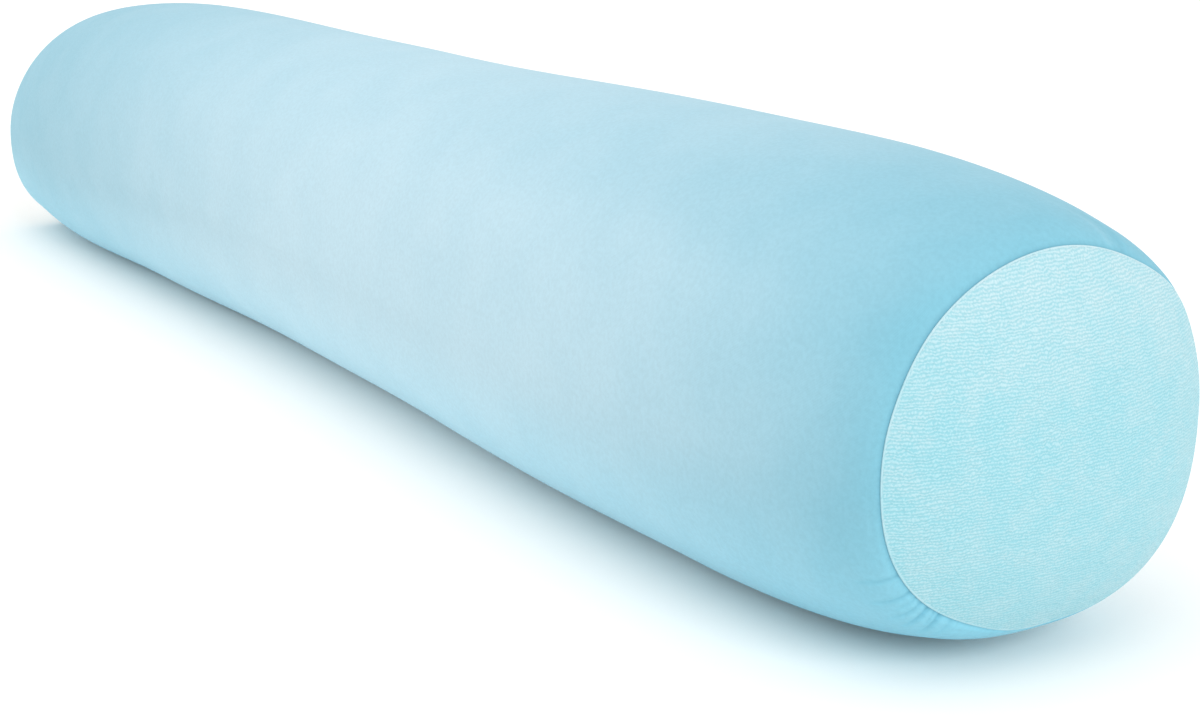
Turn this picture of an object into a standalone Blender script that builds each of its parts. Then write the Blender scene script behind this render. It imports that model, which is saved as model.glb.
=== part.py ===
"""Round bolster body pillow, about 1.19 m long: a filled tube of stretch cloth with a plush panel in each end.

Metres, +Z up. The pillow lies on its flattened underside at z = 0, with its length along X. The origin is on
that surface below the middle of the pillow. The near end is the one at +X.
"""
import math
from collections import namedtuple

import bmesh
import bpy
import numpy as np

# The filled tube between its two end seams
SEAM_TO_SEAM = 1.147
BODY_WIDTH = 0.2020
BODY_HEIGHT = 0.1945
WIDEST_HEIGHT = 0.0860      # height of the body's widest line above the surface
PRESSED_DEPTH = 0.0058      # how far a section would bulge below the surface if nothing pressed it flat
CROWN_POWER = 2.24          # roundness of a section's upper half, 2 is an ellipse and more is fuller
BELLY_POWER = 2.38          # the same for the lower half, which the weight pushes outwards

# The ring where an end panel is sewn to the tube
RING_CROWN_POWER = 1.97
RING_BELLY_POWER = 2.55
TURNED_EDGE = 0.0010        # the tube cloth's turned-in edge, which the panel sits inside

# The plush end panels
PANEL_THICKNESS = 0.0026
PANEL_BULGE_POWER = 2.6     # a panel is flat in the middle and falls away towards its seam
PIECE_GAP = 0.0004

# Faceting
SIDES = 56
SHOULDER_RINGS = 13
BODY_RINGS = 15
PANEL_RINGS = 5

# side: -1 at the far end, 1 at the near end. ring_middle: height of the ring's middle above the surface.
# shoulder: length over which the tube draws in to the ring. fullness: how blunt that shoulder is, where more
# is blunter. bulge: how far the panel's middle stands out past its seam.
End = namedtuple("End", "side ring_width ring_height ring_middle shoulder fullness bulge")
FAR_END = End(-1, 0.1680, 0.1410, 0.0710, 0.240, 2.30, 0.0215)
NEAR_END = End(1, 0.1610, 0.1480, 0.0962, 0.150, 1.80, 0.0215)

# The fill lies a little unevenly. share: place along the seam-to-seam length, from the far end. wider and
# taller: what is added to the half width and to the height there. belly: what is added to BELLY_POWER there.
Station = namedtuple("Station", "share wider taller belly")
STATIONS = (
    Station(0.00, 0.0000, 0.0000, 0.00),
    Station(0.10, 0.0010, -0.0010, 0.35),
    Station(0.26, 0.0000, 0.0015, 0.00),
    Station(0.45, -0.0012, -0.0004, -0.24),
    Station(0.58, -0.0008, -0.0016, -0.20),
    Station(0.76, 0.0000, 0.0006, 0.05),
    Station(0.90, 0.0000, -0.0004, -0.12),
    Station(1.00, 0.0000, 0.0000, 0.00),
)

# Base colours (linear), roughness and metallic value
TUBE_FINISH = ((0.44, 0.71, 0.82), 0.62, 0.0)
PANEL_FINISH = ((0.44, 0.78, 0.86), 0.90, 0.0)


def blend(start, end, share):
    """The value that lies share of the way from start to end."""
    return start + (end - start) * share


def along_stations(share, column):
    """One column of STATIONS at a share of the length, eased from one station to the next."""
    for first, second in zip(STATIONS, STATIONS[1:]):
        if share <= second.share:
            part = (share - first.share) / (second.share - first.share)
            eased = (1.0 - math.cos(math.pi * part)) / 2.0
            return blend(getattr(first, column), getattr(second, column), eased)
    return getattr(STATIONS[-1], column)


def shoulder_rise(distance, end):
    """How far the tube has grown from its seam ring (0) to its full section (1), distance from the seam."""
    reach = min(max(distance / end.shoulder, 0.0), 1.0)
    return (1.0 - (1.0 - reach) ** end.fullness) ** (1.0 / end.fullness)


def half_superellipse(turn, power):
    """The across and up shares, 0 to 1, of a superellipse's point at an angle."""
    return abs(math.cos(turn)) ** (2.0 / power), abs(math.sin(turn)) ** (2.0 / power)


def tube_section(x):
    """The tube's closed outline at x from the middle, as an array of SIDES points (y, z)."""
    share = x / SEAM_TO_SEAM + 0.5
    end = NEAR_END if x > 0.0 else FAR_END
    rise = shoulder_rise(SEAM_TO_SEAM / 2.0 - abs(x), end)
    half_width = blend(end.ring_width / 2.0, BODY_WIDTH / 2.0 + along_stations(share, "wider"), rise)
    middle = blend(end.ring_middle, WIDEST_HEIGHT, rise)
    top = blend(end.ring_middle + end.ring_height / 2.0, BODY_HEIGHT + along_stations(share, "taller"), rise)
    bottom = blend(end.ring_middle - end.ring_height / 2.0, -PRESSED_DEPTH, rise)
    crown_power = blend(RING_CROWN_POWER, CROWN_POWER, rise)
    belly_power = blend(RING_BELLY_POWER, BELLY_POWER + along_stations(share, "belly"), rise)
    points = []
    for step in range(SIDES):
        turn = 2.0 * math.pi * step / SIDES
        above = math.sin(turn) > 0.0
        across, up = half_superellipse(turn, crown_power if above else belly_power)
        y = math.copysign(half_width * across, math.cos(turn))
        z = blend(middle, top if above else bottom, up)
        points.append((y, max(z, 0.0)))
    return np.array(points)


def tube_stops():
    """The places along X where the tube gets a section, closer together where its shoulders turn in."""
    half = SEAM_TO_SEAM / 2.0
    eased = [(step / SHOULDER_RINGS) ** 2.0 for step in range(SHOULDER_RINGS)]
    far = [-half + FAR_END.shoulder * share for share in eased]
    near = [half - NEAR_END.shoulder * share for share in reversed(eased)]
    body = np.linspace(-half + FAR_END.shoulder, half - NEAR_END.shoulder, BODY_RINGS)
    return far + list(body) + near


def shrunk(section, middle, inset):
    """A section drawn in towards (y, z) middle, by inset at its widest."""
    scale = 1.0 - inset / np.abs(section[:, 0] - middle[0]).max()
    return middle + (section - middle) * scale


def ring_points(x, section):
    """A section as points (x, y, z)."""
    return np.column_stack((np.full(len(section), x), section))


def end_dome(end, inset, setback):
    """An end's domed surface, from its rim to its middle.

    The rim lies inset inside the seam ring and the surface lies setback behind the panel's outer face.
    Returns the rings from the rim inwards and the middle point.
    """
    seam_x = end.side * SEAM_TO_SEAM / 2.0
    outline = tube_section(seam_x)
    middle = np.array((outline[:, 0].mean(), end.ring_middle))
    rim = shrunk(outline, middle, inset)
    rings = []
    for step in range(PANEL_RINGS):
        share = math.cos(0.5 * math.pi * step / PANEL_RINGS)
        x = seam_x + end.side * (end.bulge * (1.0 - share ** PANEL_BULGE_POWER) - setback)
        rings.append(ring_points(x, middle + (rim - middle) * share))
    pole = np.array((seam_x + end.side * (end.bulge - setback), *middle))
    return rings, pole


def tube_end(end):
    """The tube's rings beyond its seam: the turned-in edge, the step behind the panel and the domed fill."""
    seam_x = end.side * SEAM_TO_SEAM / 2.0
    setback = PANEL_THICKNESS + PIECE_GAP
    outline = tube_section(seam_x)
    middle = np.array((outline[:, 0].mean(), end.ring_middle))
    edge = shrunk(outline, middle, TURNED_EDGE)
    step_rings = [ring_points(seam_x, edge), ring_points(seam_x - end.side * setback, edge)]
    dome, pole = end_dome(end, TURNED_EDGE + PIECE_GAP, setback)
    return step_rings + dome, pole


def closed_solid(rings, first_pole, last_pole):
    """A mesh skinned over rings of equal length, closed by a fan at each end."""
    mesh = bmesh.new()
    rows = [[mesh.verts.new(point) for point in ring] for ring in rings]
    for near_row, far_row in zip(rows, rows[1:]):
        for step in range(len(near_row)):
            after = (step + 1) % len(near_row)
            mesh.faces.new((near_row[step], near_row[after], far_row[after], far_row[step]))
    for row, point in ((rows[0], first_pole), (rows[-1], last_pole)):
        pole = mesh.verts.new(point)
        for step in range(len(row)):
            mesh.faces.new((row[step], row[(step + 1) % len(row)], pole))
    bmesh.ops.recalc_face_normals(mesh, faces=mesh.faces)
    return mesh


def bolster_tube():
    """The filled tube: far end, far shoulder, body, near shoulder and near end as one closed skin."""
    far_rings, far_pole = tube_end(FAR_END)
    near_rings, near_pole = tube_end(NEAR_END)
    body = [ring_points(x, tube_section(x)) for x in tube_stops()]
    return closed_solid(far_rings[::-1] + body + near_rings, far_pole, near_pole)


def end_panel(end):
    """A round plush panel: its domed outer face, its rim and its back, one cloth's thickness apart."""
    inset = TURNED_EDGE + PIECE_GAP
    face, face_pole = end_dome(end, inset, 0.0)
    back, back_pole = end_dome(end, inset, PANEL_THICKNESS)
    return closed_solid(face[::-1] + back, face_pole, back_pole)


def cloth(name, finish):
    """A material with a base colour, a roughness and a metallic value."""
    colour, roughness, metallic = finish
    material = bpy.data.materials.new(name)
    material.use_nodes = True
    shader = material.node_tree.nodes["Principled BSDF"]
    shader.inputs["Base Color"].default_value = (*colour, 1.0)
    shader.inputs["Roughness"].default_value = roughness
    shader.inputs["Metallic"].default_value = metallic
    material.diffuse_color = (*colour, 1.0)
    return material


def add_piece(name, solid, material, shift):
    """Link a closed solid to the scene as a named object, moved by shift."""
    bmesh.ops.translate(solid, vec=shift, verts=solid.verts)
    mesh = bpy.data.meshes.new(name)
    solid.to_mesh(mesh)
    solid.free()
    mesh.materials.append(material)
    mesh.shade_smooth()
    mesh.set_sharp_from_angle(angle=math.radians(50.0))
    piece = bpy.data.objects.new(name, mesh)
    bpy.context.scene.collection.objects.link(piece)
    return piece


def centring_shift(solids):
    """The move along X and Y that brings the middle of the whole pillow over the origin."""
    points = np.array([vertex.co for solid in solids for vertex in solid.verts])
    middle = (points.min(axis=0) + points.max(axis=0)) / 2.0
    return (-middle[0], -middle[1], 0.0)


def main():
    """Clear the scene and build the three pieces."""
    for old in list(bpy.data.objects):
        bpy.data.objects.remove(old, do_unlink=True)
    tube_cloth = cloth("stretch_cloth", TUBE_FINISH)
    panel_cloth = cloth("plush_cloth", PANEL_FINISH)
    pieces = (
        ("bolster_tube", bolster_tube(), tube_cloth),
        ("end_panel_near", end_panel(NEAR_END), panel_cloth),
        ("end_panel_far", end_panel(FAR_END), panel_cloth),
    )
    shift = centring_shift([solid for _, solid, _ in pieces])
    for name, solid, material in pieces:
        add_piece(name, solid, material, shift)


main()
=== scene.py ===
"""The looks of a long round bolster body pillow: a tight tube of stretch knit with plush end panels.

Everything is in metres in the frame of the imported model: +X along the pillow towards its near end,
+Z up, and the pillow lies on z = 0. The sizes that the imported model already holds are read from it.
"""
import sys
import logging
import math
from dataclasses import dataclass, field
from enum import Enum
from typing import Optional, Sequence, Union

import bmesh
import bpy
import numpy as np
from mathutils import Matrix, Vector
from mathutils.bvhtree import BVHTree
from mathutils.geometry import delaunay_2d_cdt


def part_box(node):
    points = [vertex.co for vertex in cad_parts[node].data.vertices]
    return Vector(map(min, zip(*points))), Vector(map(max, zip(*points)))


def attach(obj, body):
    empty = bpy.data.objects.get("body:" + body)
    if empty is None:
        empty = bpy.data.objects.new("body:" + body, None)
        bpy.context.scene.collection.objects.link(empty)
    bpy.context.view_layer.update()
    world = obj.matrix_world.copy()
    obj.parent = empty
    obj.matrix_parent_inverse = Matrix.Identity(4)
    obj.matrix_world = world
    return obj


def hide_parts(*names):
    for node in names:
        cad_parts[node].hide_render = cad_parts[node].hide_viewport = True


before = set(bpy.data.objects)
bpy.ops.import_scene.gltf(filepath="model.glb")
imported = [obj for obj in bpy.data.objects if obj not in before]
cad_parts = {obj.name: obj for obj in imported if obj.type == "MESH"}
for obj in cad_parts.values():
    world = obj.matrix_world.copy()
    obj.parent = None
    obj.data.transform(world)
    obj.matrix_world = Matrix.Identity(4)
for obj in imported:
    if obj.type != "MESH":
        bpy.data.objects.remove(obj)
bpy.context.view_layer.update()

LOG = logging.getLogger("pillow")

MM = 0.001
FULL_TURN = 2.0 * math.pi
Colour = tuple[float, float, float]
Socket = bpy.types.NodeSocket
Value = Union[float, tuple, Socket]


class PillowEnd(Enum):
    """One end of the pillow. The value is the end's direction along X."""

    FAR = -1
    NEAR = 1

    @property
    def panel_node(self) -> str:
        """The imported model's name for this end's panel."""
        return "end_panel_near" if self is PillowEnd.NEAR else "end_panel_far"


# ------------------------------------------------------------------------------------------------
# Small tools for surfaces
# ------------------------------------------------------------------------------------------------


def smooth_step(value: np.ndarray, low: float, high: float) -> np.ndarray:
    """Ease from 0 at low to 1 at high."""
    part = np.clip((value - low) / (high - low), 0.0, 1.0)
    return part * part * (3.0 - 2.0 * part)


def eased_between(stations: np.ndarray, values: np.ndarray, places: np.ndarray) -> np.ndarray:
    """Follow a smooth curve through values that are known at some stations.

    Args:
        stations: increasing places where the values are known.
        values: one array of values for each station.
        places: where the curve is wanted.

    Returns:
        One array of values for each place.
    """
    runs = np.diff(stations)
    weights = runs.reshape((-1,) + (1,) * (values.ndim - 1))
    slopes = np.diff(values, axis=0) / weights
    both = weights[1:] + weights[:-1]
    tangents = np.empty_like(values)
    tangents[1:-1] = (slopes[:-1] * weights[1:] + slopes[1:] * weights[:-1]) / both
    tangents[0] = slopes[0]
    tangents[-1] = slopes[-1]
    first = np.clip(np.searchsorted(stations, places, side="right") - 1, 0, len(runs) - 1)
    run = weights[first]
    part = (places - stations[first]).reshape(run.shape) / run
    return (
        values[first] * (1 + 2 * part) * (1 - part) ** 2
        + tangents[first] * run * part * (1 - part) ** 2
        + values[first + 1] * part**2 * (3 - 2 * part)
        - tangents[first + 1] * run * part**2 * (1 - part)
    )


def faired(values: np.ndarray, harmonics: float) -> np.ndarray:
    """Take the facets out of values that run once round a section.

    Args:
        values: the values, round the section along the last axis.
        harmonics: the waves in a turn above which they are faded out.

    Returns:
        The smooth values.
    """
    waves = np.fft.rfft(values, axis=-1)
    fade = np.exp(-((np.arange(waves.shape[-1]) / harmonics) ** 4))
    return np.fft.irfft(waves * fade, n=values.shape[-1], axis=-1)


def finer_round(values: np.ndarray, count: int) -> np.ndarray:
    """Resample a closed grid (row, side, coordinate) to count sides, along its own waves."""
    waves = np.fft.rfft(values, axis=1)
    return np.fft.irfft(waves, n=count, axis=1) * count / values.shape[1]


def grid_normals(grid: np.ndarray) -> np.ndarray:
    """Find which way a closed surface faces.

    Args:
        grid: its points (row, side, coordinate), with rows that run towards +X.

    Returns:
        An outward unit normal for each point.
    """
    along = np.gradient(grid, axis=0)
    around = np.roll(grid, -1, axis=1) - np.roll(grid, 1, axis=1)
    normals = np.cross(around, along)
    return normals / np.maximum(np.linalg.norm(normals, axis=2, keepdims=True), 1e-12)


def mesh_from(name: str, points: np.ndarray, faces: Sequence[Sequence[int]]) -> bpy.types.Mesh:
    """Make a smooth-shaded mesh whose faces point outwards.

    Args:
        name: the mesh's name.
        points: its points.
        faces: the points' numbers round each face.

    Returns:
        The mesh.
    """
    mesh = bpy.data.meshes.new(name)
    mesh.from_pydata([tuple(point) for point in points], [], faces)
    shell = bmesh.new()
    shell.from_mesh(mesh)
    bmesh.ops.recalc_face_normals(shell, faces=shell.faces)
    shell.to_mesh(mesh)
    shell.free()
    mesh.shade_smooth()
    return mesh


def object_from(name: str, mesh: bpy.types.Mesh) -> bpy.types.Object:
    """Link a mesh to the scene as an object at the origin.

    Args:
        name: the object's name.
        mesh: the mesh that it shows.

    Returns:
        The object.
    """
    piece = bpy.data.objects.new(name, mesh)
    bpy.context.scene.collection.objects.link(piece)
    return piece


def store_vectors(mesh: bpy.types.Mesh, name: str, vectors: np.ndarray) -> None:
    """Keep one vector for each of the mesh's points under a name."""
    layer = mesh.attributes.new(name, "FLOAT_VECTOR", "POINT")
    layer.data.foreach_set("vector", vectors.astype(np.float32).ravel())


def store_numbers(mesh: bpy.types.Mesh, name: str, numbers: np.ndarray) -> None:
    """Keep one number for each of the mesh's points under a name."""
    layer = mesh.attributes.new(name, "FLOAT", "POINT")
    layer.data.foreach_set("value", numbers.astype(np.float32))


def bridge(first: Sequence[int], second: Sequence[int]) -> list[list[int]]:
    """Join two closed rows of points with faces.

    Args:
        first: the points' numbers in one row.
        second: those in the other, as many as in the first or a whole multiple.

    Returns:
        The faces.
    """
    ratio = len(second) // len(first)
    faces = []
    for side in range(len(first)):
        after = (side + 1) % len(first)
        edge = [second[(side * ratio + step) % len(second)] for step in range(ratio + 1)]
        faces.append([first[after], first[side], *edge])
    return faces


def fan(ring: Sequence[int], pole: int) -> list[list[int]]:
    """Close a ring of points with triangles that meet at a pole."""
    return [[ring[side], ring[(side + 1) % len(ring)], pole] for side in range(len(ring))]


# ------------------------------------------------------------------------------------------------
# Node trees
# ------------------------------------------------------------------------------------------------


@dataclass(frozen=True)
class Ramp:
    """A soft step from one number to another.

    Args:
        low: the value where the step begins.
        high: the value where it ends.
        start: the result at low and below it.
        stop: the result at high and above it.
    """

    low: float
    high: float
    start: float = 0.0
    stop: float = 1.0


@dataclass(frozen=True)
class Grain:
    """Soft cloudy noise that runs between two numbers.

    Args:
        scale: how many clouds there are in a metre.
        ramp: the numbers that it runs between, by the noise's own height.
        detail: how many finer layers it has.
        roughness: how strong those layers are.
    """

    scale: float
    ramp: Ramp
    detail: float = 2.0
    roughness: float = 0.5


class TreeBuilder:
    """Adds nodes to one node tree and joins them up."""

    def __init__(self, tree: bpy.types.NodeTree) -> None:
        """Start on an empty or an existing tree."""
        self.tree = tree

    def add(self, kind: str, inputs: Optional[dict] = None, **settings: object) -> bpy.types.Node:
        """Add a node.

        Args:
            kind: the node's type name.
            inputs: for some inputs, by name or number, what feeds it: a socket or a fixed value.
            settings: the node's own properties.

        Returns:
            The node.
        """
        node = self.tree.nodes.new(kind)
        for name, value in settings.items():
            setattr(node, name, value)
        for key, value in (inputs or {}).items():
            self.feed(node.inputs[key], value)
        return node

    def feed(self, socket: Socket, value: Value) -> None:
        """Set what an input takes.

        Args:
            socket: the input.
            value: the socket that is linked to it, or its fixed value.
        """
        if isinstance(value, Socket):
            self.tree.links.new(value, socket)
        else:
            socket.default_value = value

    def maths(self, operation: str, first: Value, second: Value = 0.0, third: Value = 0.0) -> Socket:
        """The result of a sum, product or other operation on numbers."""
        node = self.add("ShaderNodeMath", {0: first, 1: second, 2: third}, operation=operation)
        return node.outputs[0]

    def product(self, *factors: Value) -> Socket:
        """Several numbers multiplied together.

        Args:
            factors: two or more numbers.

        Returns:
            Their product.
        """
        result = factors[0]
        for factor in factors[1:]:
            result = self.maths("MULTIPLY", result, factor)
        return result

    def vector_maths(self, operation: str, first: Value, second: Value) -> Socket:
        """The vector result of an operation on two vectors."""
        inputs = {0: first, 1: second}
        return self.add("ShaderNodeVectorMath", inputs, operation=operation).outputs["Vector"]

    def along(self, place: Socket, way: tuple[float, float, float]) -> Socket:
        """How far a place lies along a way."""
        inputs = {0: place, 1: way}
        return self.add("ShaderNodeVectorMath", inputs, operation="DOT_PRODUCT").outputs["Value"]

    def split(self, vector: Socket) -> tuple[Socket, Socket, Socket]:
        """A vector's three numbers."""
        return tuple(self.add("ShaderNodeSeparateXYZ", {0: vector}).outputs)

    def joined(self, first: Value, second: Value = 0.0, third: Value = 0.0) -> Socket:
        """A vector of three numbers."""
        return self.add("ShaderNodeCombineXYZ", {0: first, 1: second, 2: third}).outputs[0]

    def eased(self, value: Value, ramp: Ramp) -> Socket:
        """A number that follows a ramp."""
        inputs = {"Value": value, 1: ramp.low, 2: ramp.high, 3: ramp.start, 4: ramp.stop}
        return self.add("ShaderNodeMapRange", inputs, interpolation_type="SMOOTHSTEP").outputs[0]

    def fading(self, distance: Value, reach: Value) -> Socket:
        """A number that is 1 at no distance, and falls to about a third with each reach."""
        share = self.maths("DIVIDE", distance, reach)
        return self.maths("EXPONENT", self.maths("MULTIPLY", share, -1.0))

    def wave(self, turns: Value) -> Socket:
        """A soft wave between 0 and 1, with a crest at each whole number."""
        cosine = self.maths("COSINE", self.maths("MULTIPLY", turns, FULL_TURN))
        return self.maths("MULTIPLY_ADD", cosine, 0.5, 0.5)

    def noise(self, place: Socket, scale: float, detail: float = 2.0, roughness: float = 0.5) -> Socket:
        """Soft cloudy noise from 0 to 1."""
        inputs = {"Vector": place, "Scale": scale, "Detail": detail, "Roughness": roughness}
        return self.add("ShaderNodeTexNoise", inputs).outputs["Fac"]

    def grained(self, place: Socket, grain: Grain) -> Socket:
        """Noise that runs between a grain's two numbers."""
        return self.eased(self.noise(place, grain.scale, grain.detail, grain.roughness), grain.ramp)


def nap_height(tree: TreeBuilder, phase: Socket) -> Socket:
    """Shape the plush's nap, in the same way for its mesh and for its colour.

    Args:
        tree: the tree that gets the nodes, of either kind.
        phase: the row number, the tuft number and how much nap stands there, as a vector.

    Returns:
        The nap's height there, from 0 to 1.
    """
    between_tufts = 0.5
    without_nap = 0.8
    row, tuft, amount = tree.split(phase)
    tufts = tree.maths("MULTIPLY_ADD", tree.wave(tuft), 1.0 - between_tufts, between_tufts)
    bump = tree.product(tree.wave(row), tufts)
    plain = tree.maths("MULTIPLY_ADD", amount, -without_nap, without_nap)
    return tree.maths("MULTIPLY_ADD", bump, amount, plain)


class GeometryTree(TreeBuilder):
    """A geometry tree with named inputs, which ends in Realize Instances and Set Material."""

    def __init__(self, name: str) -> None:
        """Make the empty group with its geometry in and out."""
        super().__init__(bpy.data.node_groups.new(name, "GeometryNodeTree"))
        for way in ("INPUT", "OUTPUT"):
            self.tree.interface.new_socket("Geometry", in_out=way, socket_type="NodeSocketGeometry")
        self.entry = self.tree.nodes.new("NodeGroupInput")
        self.exit = self.tree.nodes.new("NodeGroupOutput")

    def named_input(self, name: str, kind: str = "NodeSocketFloat") -> Socket:
        """Add an input to the group and return the socket that carries it."""
        self.tree.interface.new_socket(name, in_out="INPUT", socket_type=kind)
        return self.entry.outputs[name]

    def attribute(self, name: str) -> Socket:
        """Read a vector that the points keep under a name."""
        node = self.add("GeometryNodeInputNamedAttribute", {"Name": name}, data_type="FLOAT_VECTOR")
        return next(each for each in node.outputs if each.enabled and each.name == "Attribute")

    def pushed_out(self, distance: Socket) -> Socket:
        """Move the points of the group's own geometry out of its surface.

        Args:
            distance: how far each point moves along its normal.

        Returns:
            The moved geometry.
        """
        normal = self.add("GeometryNodeInputNormal").outputs[0]
        scaled = self.add("ShaderNodeVectorMath", {0: normal, "Scale": distance}, operation="SCALE")
        inputs = {"Geometry": self.entry.outputs[0], "Offset": scaled.outputs[0]}
        return self.add("GeometryNodeSetPosition", inputs).outputs[0]

    def keeping(self, geometry: Socket, name: str, vector: Socket) -> Socket:
        """Keep a vector on each point.

        Args:
            geometry: the geometry that has the points.
            name: the name that it is kept under.
            vector: the vector.

        Returns:
            The geometry that has it.
        """
        inputs = {"Geometry": geometry, "Name": name}
        node = self.add("GeometryNodeStoreNamedAttribute", inputs, data_type="FLOAT_VECTOR", domain="POINT")
        kept = next(each for each in node.inputs if each.enabled and each.name == "Value")
        self.feed(kept, vector)
        return node.outputs[0]

    def close(self, geometry: Socket, material: Socket) -> None:
        """End the tree.

        Args:
            geometry: the finished geometry.
            material: its material.
        """
        real = self.add("GeometryNodeRealizeInstances", {"Geometry": geometry}).outputs[0]
        dressed = self.add("GeometryNodeSetMaterial", {"Geometry": real, "Material": material})
        self.tree.links.new(dressed.outputs[0], self.exit.inputs[0])

    def run(self, name: str, base: bpy.types.Mesh, values: dict) -> bpy.types.Object:
        """Put a mesh through the tree.

        Args:
            name: the finished piece's name.
            base: the mesh that goes in.
            values: a value for each named input.

        Returns:
            An object that holds the result as a plain mesh.
        """
        carrier = object_from(f"{name}_base", base)
        modifier = carrier.modifiers.new("tree", "NODES")
        modifier.node_group = self.tree
        for item in self.tree.interface.items_tree:
            if item.in_out == "INPUT" and item.name in values:
                modifier[item.identifier] = values[item.name]
        view = bpy.context.evaluated_depsgraph_get()
        mesh = bpy.data.meshes.new_from_object(carrier.evaluated_get(view), depsgraph=view)
        mesh.name = name
        carrier.modifiers.remove(modifier)
        bpy.data.objects.remove(carrier, do_unlink=True)
        return object_from(name, mesh)


class ShaderTree(TreeBuilder):
    """A material's tree."""

    def place(self) -> Socket:
        """The place on the object."""
        return self.add("ShaderNodeTexCoord").outputs["Object"]

    def kept_number(self, name: str) -> Socket:
        """A number that the mesh keeps under a name."""
        return self.add("ShaderNodeAttribute", attribute_name=name).outputs["Fac"]

    def kept_vector(self, name: str) -> Socket:
        """A vector that the mesh keeps under a name."""
        return self.add("ShaderNodeAttribute", attribute_name=name).outputs["Vector"]

    def mixed(self, factor: Value, first: Value, second: Value, how: str = "MIX") -> Socket:
        """Mix two colours.

        Args:
            factor: how much of the second there is, from 0 to 1.
            first: a colour, or the socket that carries it.
            second: the other one.
            how: the way in which they mix.

        Returns:
            The mixed colour.
        """
        node = self.add("ShaderNodeMix", {0: factor}, data_type="RGBA", blend_type=how)
        for number, colour in ((6, first), (7, second)):
            self.feed(node.inputs[number], (*colour, 1.0) if isinstance(colour, tuple) else colour)
        return node.outputs[2]

    def shaded(self, colour: Value, light: Socket) -> Socket:
        """A colour that is made lighter or darker by a number."""
        return self.mixed(1.0, colour, self.joined(light, light, light), "MULTIPLY")


# ------------------------------------------------------------------------------------------------
# Finishes
# ------------------------------------------------------------------------------------------------


@dataclass(frozen=True)
class Finish:
    """A surface finish that is made as a material.

    Args:
        name: the material's name.
    """

    name: str

    def material(self) -> bpy.types.Material:
        """Make the finish's material.

        Returns:
            The material.
        """
        material = bpy.data.materials.new(self.name)
        material.use_nodes = True
        nodes = material.node_tree.nodes
        self.dress(ShaderTree(material.node_tree), nodes["Principled BSDF"].inputs)
        return material

    def dress(self, tree: ShaderTree, shader: bpy.types.NodeInputs) -> None:
        """Set the shader's inputs. Each finish has its own way."""
        raise NotImplementedError


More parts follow.
